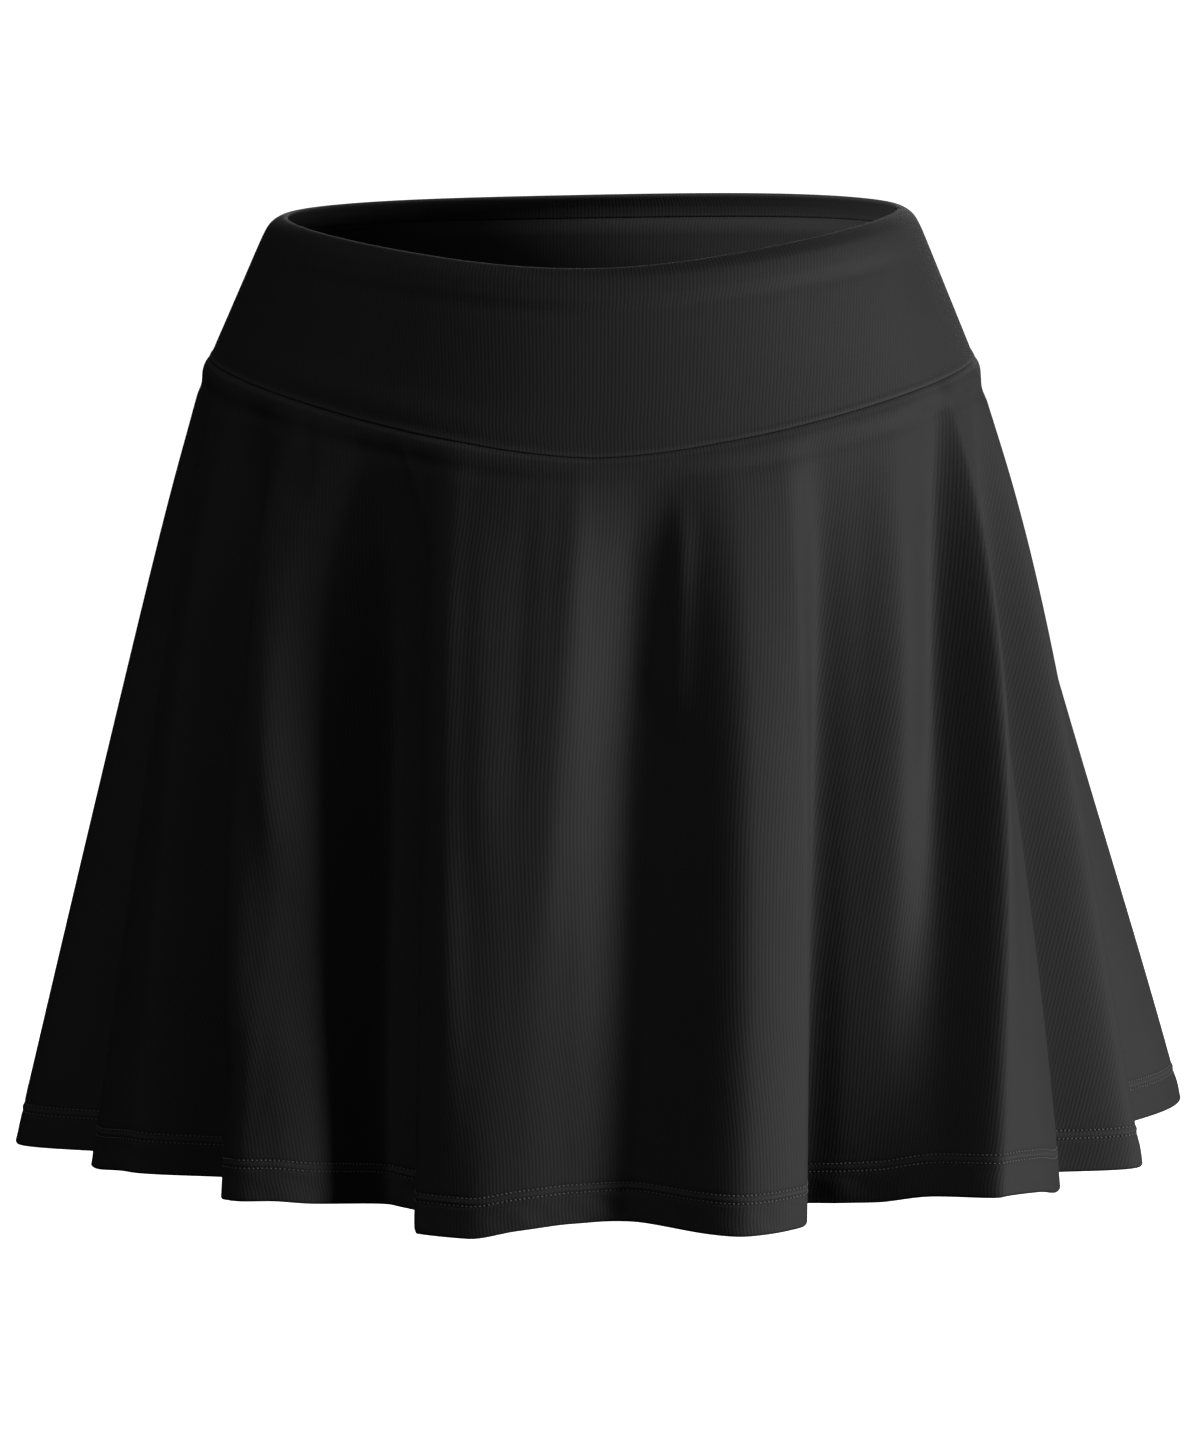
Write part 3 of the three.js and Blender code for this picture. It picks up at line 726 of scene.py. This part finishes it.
class Recipe:
    """Adds shader nodes to a new material, one call for each."""

    def __init__(self, name):
        self.material = bpy.data.materials.new(name)
        self.material.use_nodes = True
        self.tree = self.material.node_tree
        self.shader = self.tree.nodes["Principled BSDF"]

    def node(self, kind, inputs=None, **settings):
        made = self.tree.nodes.new(kind)
        for name, value in settings.items():
            setattr(made, name, value)
        for name, value in (inputs or {}).items():
            self.put(value, made.inputs[name])
        return made

    def put(self, value, socket):
        """Links a node's output to a socket, or sets the socket's own value."""
        if isinstance(value, bpy.types.NodeSocket):
            self.tree.links.new(value, socket)
        else:
            socket.default_value = value

    def sum(self, operation, first, second=0.0, third=0.0):
        """One step of arithmetic."""
        values = {0: first, 1: second, 2: third}
        return self.node("ShaderNodeMath", values, operation=operation).outputs[0]

    def noise(self, place, scale, detail, roughness=0.5):
        settings = {"Vector": place, "Scale": scale, "Detail": detail, "Roughness": roughness}
        return self.node("ShaderNodeTexNoise", settings).outputs["Fac"]

    def shades(self, portion, dark, light):
        """A colour between two shades."""
        made = self.node("ShaderNodeMix", data_type="RGBA", clamp_factor=False)
        for name, value in (("Factor", portion), ("A", dark), ("B", light)):
            self.put(value, made.inputs[name])
        return made.outputs["Result"]

    def between(self, value, low, high):
        """A value from 0 to 1, stretched to lie between two others."""
        made = self.node("ShaderNodeMapRange", {"Value": value, "To Min": low, "To Max": high})
        return made.outputs["Result"]

    def finished(self, inputs):
        """The material, once its shader's inputs are linked or set."""
        for name, value in inputs.items():
            self.put(value, self.shader.inputs[name])
        return self.material


def shade_of(tone, factor):
    return tuple(min(1.0, channel * factor) for channel in tone[:3]) + (1.0,)


def jersey(name, tone, finish, wale_factor=1.0, roughness=0.76):
    """Knitted jersey: ribs of small leaning stitches, a soft sheen and a slightly uneven black. Its
    colour is painted lighter on the knit's raised stitches and darker in its hollows (painted
    shade), and painted lighter where a piece marks a painted highlight.
    """
    recipe = Recipe(name)
    place = recipe.node("ShaderNodeUVMap", uv_map="flat_cut").outputs["UV"]
    split = recipe.node("ShaderNodeSeparateXYZ", {"Vector": place})
    ribs = recipe.sum("DIVIDE", split.outputs["X"], finish.wale_pitch * wale_factor)
    rows = recipe.sum("DIVIDE", split.outputs["Y"], finish.course_pitch * wale_factor)
    rib = recipe.sum("MULTIPLY", recipe.sum("PINGPONG", ribs, 0.5), 2.0)
    lean = recipe.sum("MULTIPLY_ADD", rib, 0.5, rows)
    turn = recipe.sum("MULTIPLY", lean, 2 * math.pi)
    stitch = recipe.sum("MULTIPLY_ADD", recipe.sum("SINE", turn), 0.5, 0.5)
    rounded = recipe.sum("SINE", recipe.sum("MULTIPLY", rib, math.pi / 2))
    fibres = recipe.noise(place, 2600.0, 3.0, 0.65)
    knit = recipe.sum("MULTIPLY", rounded, 0.40)
    knit = recipe.sum("MULTIPLY_ADD", stitch, 0.20, knit)
    knit = recipe.sum("MULTIPLY_ADD", fibres, 0.45, knit)
    settings = {"Height": knit, "Distance": finish.relief, "Strength": 1.0}
    bump = recipe.node("ShaderNodeBump", settings)
    patches = recipe.noise(place, 34.0, 3.0)
    # Colour: random patches of tone, plus the knit's height, so it is painted darker in the knit's
    # hollows: painted shade.
    painted_light_and_patches = recipe.sum("MULTIPLY_ADD", knit, 0.7, recipe.sum("MULTIPLY", patches, 0.35))
    # Each piece's per-row mark paints the colour lighter there: a painted highlight.
    painted_highlight = recipe.node("ShaderNodeAttribute", attribute_name="painted_highlight").outputs["Fac"]
    painted_light_and_patches = recipe.sum("MULTIPLY_ADD", painted_highlight, 1.1, painted_light_and_patches)
    return recipe.finished({
        "Base Color": recipe.shades(painted_light_and_patches, shade_of(tone, 0.62), shade_of(tone, 1.38)),
        "Roughness": recipe.between(fibres, roughness - 0.07, roughness + 0.07),
        "Normal": bump.outputs["Normal"],
        "Specular IOR Level": 0.32,
        "Sheen Weight": finish.sheen,
        "Sheen Roughness": 0.45,
        "Sheen Tint": (0.8, 0.8, 0.82, 1),
    })


def sewing_thread(name, tone):
    """Spun thread: fine plies that wind round each stitch."""
    recipe = Recipe(name)
    place = recipe.node("ShaderNodeUVMap", uv_map="stitch").outputs["UV"]
    split = recipe.node("ShaderNodeSeparateXYZ", {"Vector": place})
    wound = recipe.sum("MULTIPLY_ADD", split.outputs["X"], 5.0, split.outputs["Y"])
    plies = recipe.sum("SINE", recipe.sum("MULTIPLY", wound, 2 * math.pi))
    ply = recipe.sum("MULTIPLY_ADD", plies, 0.5, 0.5)
    solid = recipe.node("ShaderNodeTexCoord").outputs["Object"]
    fibres = recipe.noise(solid, 4200.0, 2.0)
    height = recipe.sum("MULTIPLY_ADD", fibres, 0.4, ply)
    bump = recipe.node("ShaderNodeBump", {"Height": height, "Distance": 0.00005, "Strength": 0.8})
    # The colour follows the plies' height, lighter on each ply and darker between them: painted
    # shade.
    return recipe.finished({
        "Base Color": recipe.shades(ply, shade_of(tone, 0.6), shade_of(tone, 1.3)),
        "Roughness": recipe.between(fibres, 0.42, 0.58),
        "Normal": bump.outputs["Normal"],
        "Specular IOR Level": 0.4,
    })


def matt_floor(name):
    """Pale studio floor."""
    recipe = Recipe(name)
    solid = recipe.node("ShaderNodeTexCoord").outputs["Object"]
    grain = recipe.noise(solid, 3.0, 3.0)
    tone = recipe.shades(grain, (0.80, 0.80, 0.80, 1), (0.84, 0.84, 0.84, 1))
    return recipe.finished({
        "Base Color": tone,
        "Emission Color": tone,
        "Emission Strength": 1.4,
        "Roughness": 0.9,
        "Specular IOR Level": 0.1,
    })


# ---------------------------------------------------------------- yoke and facing

HALVES = {"front": 0.0, "back": math.pi}


def half_angles(scene, middle, count):
    """Places across the front or the back half, stopping half a gap short of the side seams."""
    unit = 1 / scene.skort_yoke.waist_half_width
    reach = math.radians(SIDE_SEAM_ANGLE) - scene.skort_cloth.side_gap / 2 * unit
    return columns_with_edges(middle - reach, middle + reach, count, unit)


def yoke_cut(form, turned_top):
    """The flat cut of half a yoke."""
    angles = np.linspace(-math.pi / 2, math.pi / 2, 200)
    top_arc = lengths_along(form.face(angles, np.array(0.0)))[-1]
    low_arc = lengths_along(form.face(angles, np.array(1.0)))[-1]
    down = np.linspace(0, 1, 60)
    length_down = lengths_along(form.face(np.array(0.0), down))[-1]
    return FlatCut(top_arc, low_arc, length_down, turned_top)


def panel_flat(cut, outer, rows):
    """Flat places for a grid of points, by their share of the length along each row."""
    along = lengths_along(outer)
    portion = along / along[:, -1:]
    down = np.array([row.down for row in rows])[:, None]
    return cut.place(portion, down)


def make_yoke(scene, half, material):
    form = YokeForm(scene)
    cloth = scene.skort_cloth.thickness
    sizes = scene.skort_yoke
    cut = yoke_cut(form, sizes.band_depth)
    doubled = 2 * cloth
    across, left_over = half_angles(scene, HALVES[half], 150)
    band_end = sizes.band_depth / cut.length_down
    rows = rounded_rows(0.0, 1, doubled, cut.length_down)
    for down in np.linspace(rows[-1].down, band_end, 18)[1:]:
        swell = smooth_step(0.0, ELASTIC_FULL * band_end, down)
        swell = swell * (1 - smooth_step(ELASTIC_THINS * band_end, band_end, down))
        rows.append(Row(float(down), 0.0, doubled + sizes.elastic * float(swell)))
    rows.append(Row(band_end + BAND_STEP, 0.0, cloth))
    low_end = rounded_rows(1.0, -1, cloth, cut.length_down, SEWN_ROUNDNESS)
    rows += even_rows(band_end + BAND_STEP, YOKE_LIP_START, 26, cloth)
    rows += even_rows(YOKE_LIP_START, low_end[0].down, 10, cloth)[:-1] + low_end
    outer, inner = wall_grids(form.face, across, left_over, rows, cloth / 2, 0.004, 0.006)
    flat = panel_flat(cut, outer, rows)
    # A painted highlight: the colour is painted lighter in a thin line just above the seam.
    painted_highlight = [float(hump((1 - row.down) * cut.length_down - 0.0008, 0.0007)) for row in rows]
    mesh = wall_mesh("yoke_" + half, outer, inner, flat, painted_highlight)
    piece = add_piece("yoke_cloth_" + half, mesh, material, "yoke_" + half)
    if half == "back":
        bpy.data.collections["inside_the_waist"].objects.link(piece)
    return piece


def make_facing(scene, half, material):
    form = YokeForm(scene)
    cloth = scene.skort_cloth.thickness
    gap = scene.skort_cloth.seam_gap
    whole = yoke_cut(form, 0.0)
    across, left_over = half_angles(scene, HALVES[half], 120)
    start = scene.skort_yoke.band_depth / whole.length_down + FACING_START
    end = FACING_END
    top = rounded_rows(start, 1, cloth, whole.length_down)
    low = rounded_rows(end, -1, cloth, whole.length_down)
    middle = even_rows(top[-1].down, low[0].down, 24, cloth)[:-1]
    rows = []
    for row in top[-2:] + middle + low:
        inner_gap = gap * float(smooth_step(start, start + FACING_EASE, row.down))
        rows.append(Row(row.down, row.outer + cloth + gap, row.inner + cloth + inner_gap))
    outer, inner = wall_grids(form.face, across, left_over, rows, gap + 1.5 * cloth, 0.004, 0.006)
    flat = panel_flat(whole, inner, rows)
    mesh = wall_mesh("facing_" + half, outer, inner, flat, np.zeros(len(rows)))
    piece = add_piece("facing_cloth_" + half, mesh, material, "facing_" + half)
    bpy.data.collections["inside_the_waist"].objects.link(piece)
    return piece


# ---------------------------------------------------------------- skirt and its hem


def skirt_ends(form, half):
    """Hem degrees of a panel's two edges, half a gap short of the side seams."""
    right, left = form.side_angles()
    gap = math.degrees(form.cloth.side_gap / 2 / form.yoke.sizes.waist_half_width)
    if half == "front":
        return right + gap, left - gap
    return left + gap, right + 360 - gap


def skirt_cut(form, half):
    """The flat cut of half a skirt."""
    first, last = skirt_ends(form, half)
    places = np.linspace(first, last, 800)
    top_arc = lengths_along(form.face(places, np.array(0.03)))[-1]
    low_arc = lengths_along(form.face(places, np.array(1.0)))[-1]
    down = np.linspace(0, 1, 80)
    columns = np.linspace(first, last, 60)
    length_down = float(np.mean([lengths_along(form.face(np.array(c), down))[-1] for c in columns]))
    return FlatCut(top_arc, low_arc, length_down, 0.0, form.sizes.turn_up)


def skirt_rows(form, cut, cloth):
    doubled = 2 * cloth
    turn_up = 1 - form.sizes.turn_up / form.drop
    rows = rounded_rows(0.0, 1, cloth, cut.length_down, SEWN_ROUNDNESS)
    rows += even_rows(rows[-1].down, FINE_TOP, 14, cloth)
    rows += even_rows(FINE_TOP, FINE_LOW, 52, cloth)
    rows += even_rows(FINE_LOW, turn_up - TURN_UP_CLEAR, 6, cloth)
    rows.append(Row(turn_up - TURN_UP_START, 0.0, doubled))
    low_end = rounded_rows(1.0, -1, doubled, cut.length_down)
    return rows + even_rows(rows[-1].down, low_end[0].down, 26, doubled)[:-1] + low_end


def make_skirt(scene, half, material):
    form = SkirtForm(scene)
    cloth = scene.skort_cloth.thickness
    cut = skirt_cut(form, half)
    first, last = skirt_ends(form, half)
    unit = math.degrees(1 / HEM_RADIUS)
    across, left_over = columns_with_edges(first, last, 300, unit)
    rows = skirt_rows(form, cut, cloth)
    outer, inner = wall_grids(form.face, across, left_over, rows, cloth / 2, 0.15, 0.002)
    flat = panel_flat(cut, outer, rows)
    stitches = form.stitches
    # A painted highlight: the colour is painted lighter in a thin line just below the yoke seam
    # and, fainter, along the welt between the hem's stitch rows.
    welt = stitches.row_height + stitches.row_gap / 2
    painted_highlight = [
        float(hump(row.down * form.drop - 0.0010, 0.0008))
        + 0.6 * float(hump((1 - row.down) * form.drop - welt, 0.0010))
        for row in rows
    ]
    mesh = wall_mesh("skirt_" + half, outer, inner, flat, painted_highlight)
    piece = add_piece("skirt_cloth_" + half, mesh, material, "skirt_" + half)
    return piece


def one_stitch(sizes):
    """Points and faces of one stitch, lying along X, with its own UV map."""
    deselect_all()
    bpy.ops.mesh.primitive_uv_sphere_add(segments=6, ring_count=4, radius=0.5)
    ball = bpy.context.object
    mesh = ball.data
    count = len(mesh.vertices)
    points = np.zeros(count * 3)
    mesh.vertices.foreach_get("co", points)
    points = points.reshape(-1, 3)[:, [2, 0, 1]]
    faces = [tuple(face.vertices) for face in mesh.polygons]
    turns = np.arctan2(points[:, 2], points[:, 1]) / (2 * math.pi)
    flat = np.stack([points[:, 0] + 0.5, turns], axis=-1)
    bpy.data.objects.remove(ball)
    return points * np.array([sizes.stitch, sizes.thread, sizes.thread]), faces, flat


def stitch_frames(form, half, down, pitch):
    """Place, direction and outward normal of each stitch in one row."""
    first, last = skirt_ends(form, half)
    places = np.linspace(first, last, 4000)
    along = lengths_along(form.face(places, np.array(down)))
    count = int(along[-1] / pitch)
    wanted = (np.arange(count) + 0.5) * along[-1] / count
    across = np.interp(wanted, along, places)
    centres = form.face(across, np.array(down))
    direction = form.face(across + 0.05, np.array(down)) - form.face(across - 0.05, np.array(down))
    direction /= np.linalg.norm(direction, axis=-1, keepdims=True)
    outward = outward_normals(form.face, across, np.array(down), 0.05, 0.004)
    return centres, direction, outward


def make_hem_stitches(scene, half, material):
    form = SkirtForm(scene)
    sizes = scene.skort_stitches
    shape, faces, flat = one_stitch(sizes)
    frames = []
    for up in (sizes.row_height, sizes.row_height + sizes.row_gap):
        frames.append(stitch_frames(form, half, 1 - up / form.drop, sizes.pitch))
    centres, direction, outward = (np.concatenate(part) for part in zip(*frames))
    upward = np.cross(outward, direction)
    raised = centres + outward * sizes.thread * STITCH_RISE
    points = (
        raised[:, None]
        + shape[None, :, 0:1] * direction[:, None]
        + shape[None, :, 1:2] * upward[:, None]
        + shape[None, :, 2:3] * outward[:, None]
    )
    count = len(shape)
    all_faces = [
        tuple(vertex + count * index for vertex in face)
        for index in range(len(centres))
        for face in faces
    ]
    mesh = bpy.data.meshes.new("hem_stitches_" + half)
    mesh.from_pydata(points.reshape(-1, 3).tolist(), [], all_faces)
    uv_map = mesh.uv_layers.new(name="stitch")
    corner = np.concatenate([face for face in all_faces])
    uv_map.data.foreach_set("uv", flat[corner % count].astype(np.float32).ravel())
    mesh.polygons.foreach_set("use_smooth", np.ones(len(all_faces), bool))
    mesh.materials.append(material)
    piece = bpy.data.objects.new("hem_stitches_" + half, mesh)
    scene.collection.objects.link(piece)
    piece.parent = bpy.data.objects["skirt_cloth_" + half]
    return piece


# ---------------------------------------------------------------- inner shorts


def make_shorts(scene, side, material):
    form = ShortsForm(scene)
    sizes = scene.skort_shorts
    wall = sizes.wall
    around = np.linspace(0, 1, 96)[None, :]
    side_length = sizes.leg_drop - scene.skort_yoke.side_depth
    ends = rounded_rows(0.0, 1, wall, side_length / 2)
    low = rounded_rows(2.0, -1, wall, side_length / 4)
    rows = ends + even_rows(ends[-1].down, 1.0, 44, wall)
    rows += even_rows(1.0, low[0].down, 16, wall)[:-1] + low
    down = np.array([row.down for row in rows])[:, None]
    surface = form.face(around, down)
    outer = form.under(surface, down, np.array([row.outer for row in rows])[:, None, None])
    inner = form.under(surface, down, np.array([row.inner for row in rows])[:, None, None])
    along = lengths_along(surface)
    falls = lengths_along(np.swapaxes(surface, 0, 1)).T
    middle = along[:, -1:] / 2
    flat = np.stack([along - middle, -falls], axis=-1)
    if side == "right":
        mirror = np.array([-1.0, 1.0, 1.0])
        outer = (outer * mirror)[:, ::-1]
        inner = (inner * mirror)[:, ::-1]
        flat = (flat * np.array([-1.0, 1.0]))[:, ::-1]
    mesh = wall_mesh("shorts_" + side, outer, inner, flat, np.zeros(len(rows)))
    piece = add_piece("shorts_cloth_" + side, mesh, material, "shorts_" + side)
    return piece


# ---------------------------------------------------------------- the stage


def aim(thing, place, target):
    thing.location = place
    thing.rotation_euler = (Vector(target) - Vector(place)).to_track_quat("-Z", "Y").to_euler()


def around_target(target, azimuth, elevation, distance):
    """A place seen from the target at an azimuth from the front and a height above level."""
    level = math.cos(elevation) * distance
    return Vector(target) + Vector(
        (math.sin(azimuth) * level, -math.cos(azimuth) * level, math.sin(elevation) * distance)
    )


def add_light(lamp, target, power):
    """A soft box that faces the garment."""
    light = bpy.data.lights.new(lamp.name, "AREA")
    light.shape = "ELLIPSE"
    light.size = lamp.width
    light.size_y = lamp.height
    light.energy = power
    box = bpy.data.objects.new(lamp.name, light)
    bpy.context.scene.collection.objects.link(box)
    azimuth, elevation = math.radians(lamp.azimuth), math.radians(lamp.elevation)
    aim(box, around_target(target, azimuth, elevation, LIGHT_DISTANCE), target)
    return box


def make_stage(scene):
    sizes = scene.skort_stage
    target = (0.0, 0.0, -sizes.view_drop)
    deselect_all()
    bpy.ops.mesh.primitive_plane_add(size=2 * sizes.floor_reach, location=(0, 0, -sizes.floor_drop))
    floor = bpy.context.object
    floor.name = "studio_floor"
    floor.data.materials.append(matt_floor("matt_floor"))
    floor.visible_diffuse = False
    floor.visible_glossy = False

    lined = bpy.data.collections.new("inside_the_waist")
    for lamp in LAMPS:
        light = add_light(lamp, target, lamp.share * getattr(sizes, lamp.power))
        if lamp.inside:
            light.light_linking.receiver_collection = lined

    world = bpy.data.worlds.new("pale_studio")
    scene.world = world
    world.use_nodes = True
    world.node_tree.nodes["Background"].inputs["Color"].default_value = (1, 1, 1, 1)
    world.cycles_visibility.diffuse = False
    world.cycles_visibility.glossy = False
    scene.view_settings.view_transform = "Standard"

    lens = bpy.data.cameras.new("view")
    lens.lens = sizes.lens
    lens.shift_x = VIEW_SHIFT
    camera = bpy.data.objects.new("view", lens)
    scene.collection.objects.link(camera)
    place = around_target(target, 0.0, sizes.view_elevation, sizes.view_distance)
    aim(camera, place, target)
    scene.camera = camera


# ---------------------------------------------------------------- operators


class SKORT_OT_stage(bpy.types.Operator):
    """Adds the floor, the lights and the camera"""

    bl_idname = "skort.stage"
    bl_label = "Add the stage"

    def execute(self, context):
        make_stage(context.scene)
        return {"FINISHED"}


class SKORT_OT_yoke(bpy.types.Operator):
    """Makes the front and the back of the yoke"""

    bl_idname = "skort.yoke"
    bl_label = "Make the yoke"

    def execute(self, context):
        finish = context.scene.skort_finish
        material = jersey("waistband_jersey", finish.jersey, finish)
        for half in HALVES:
            make_yoke(context.scene, half, material)
        return {"FINISHED"}


class SKORT_OT_facing(bpy.types.Operator):
    """Makes the facing inside the yoke"""

    bl_idname = "skort.facing"
    bl_label = "Make the facing"

    def execute(self, context):
        finish = context.scene.skort_finish
        material = jersey("facing_jersey", finish.lining, finish)
        for half in HALVES:
            make_facing(context.scene, half, material)
        return {"FINISHED"}


class SKORT_OT_skirt(bpy.types.Operator):
    """Makes the front and the back of the skirt"""

    bl_idname = "skort.skirt"
    bl_label = "Make the skirt"

    def execute(self, context):
        finish = context.scene.skort_finish
        material = jersey("skirt_jersey", finish.jersey, finish)
        for half in HALVES:
            make_skirt(context.scene, half, material)
        return {"FINISHED"}


class SKORT_OT_hem_stitches(bpy.types.Operator):
    """Sews the twin rows of stitches along the skirt's hem"""

    bl_idname = "skort.hem_stitches"
    bl_label = "Sew the hem"

    def execute(self, context):
        material = sewing_thread("seam_thread", context.scene.skort_finish.thread)
        for half in HALVES:
            make_hem_stitches(context.scene, half, material)
        return {"FINISHED"}


class SKORT_OT_shorts(bpy.types.Operator):
    """Makes the two halves of the inner shorts"""

    bl_idname = "skort.shorts"
    bl_label = "Make the inner shorts"

    def execute(self, context):
        finish = context.scene.skort_finish
        material = jersey("shorts_jersey", finish.lining, finish, wale_factor=0.8, roughness=0.7)
        for side in ("left", "right"):
            make_shorts(context.scene, side, material)
        return {"FINISHED"}


class SKORT_PT_pieces(bpy.types.Panel):
    """The skort's pieces in the sidebar"""

    bl_idname = "SKORT_PT_pieces"
    bl_label = "Tennis skort"
    bl_space_type = "VIEW_3D"
    bl_region_type = "UI"
    bl_category = "Skort"

    def draw(self, context):
        for operator in OPERATORS:
            self.layout.operator(operator.bl_idname)


OPERATORS = (
    SKORT_OT_stage,
    SKORT_OT_yoke,
    SKORT_OT_facing,
    SKORT_OT_skirt,
    SKORT_OT_hem_stitches,
    SKORT_OT_shorts,
)
SETTINGS = {
    "skort_cloth": ClothSizes,
    "skort_yoke": YokeSizes,
    "skort_skirt": SkirtSizes,
    "skort_shorts": ShortsSizes,
    "skort_stitches": StitchSizes,
    "skort_finish": ClothFinish,
    "skort_stage": StageSizes,
}


def register():
    for kind in (*SETTINGS.values(), *OPERATORS, SKORT_PT_pieces):
        bpy.utils.register_class(kind)
    for name, kind in SETTINGS.items():
        setattr(bpy.types.Scene, name, PointerProperty(type=kind))


def unregister():
    for name in SETTINGS:
        delattr(bpy.types.Scene, name)
    for kind in (SKORT_PT_pieces, *reversed(OPERATORS), *reversed(SETTINGS.values())):
        bpy.utils.unregister_class(kind)


def main():
    register()
    bpy.ops.skort.stage()
    bpy.ops.skort.yoke()
    bpy.ops.skort.facing()
    bpy.ops.skort.skirt()
    bpy.ops.skort.hem_stitches()
    bpy.ops.skort.shorts()


if __name__ == "__main__":
    main()
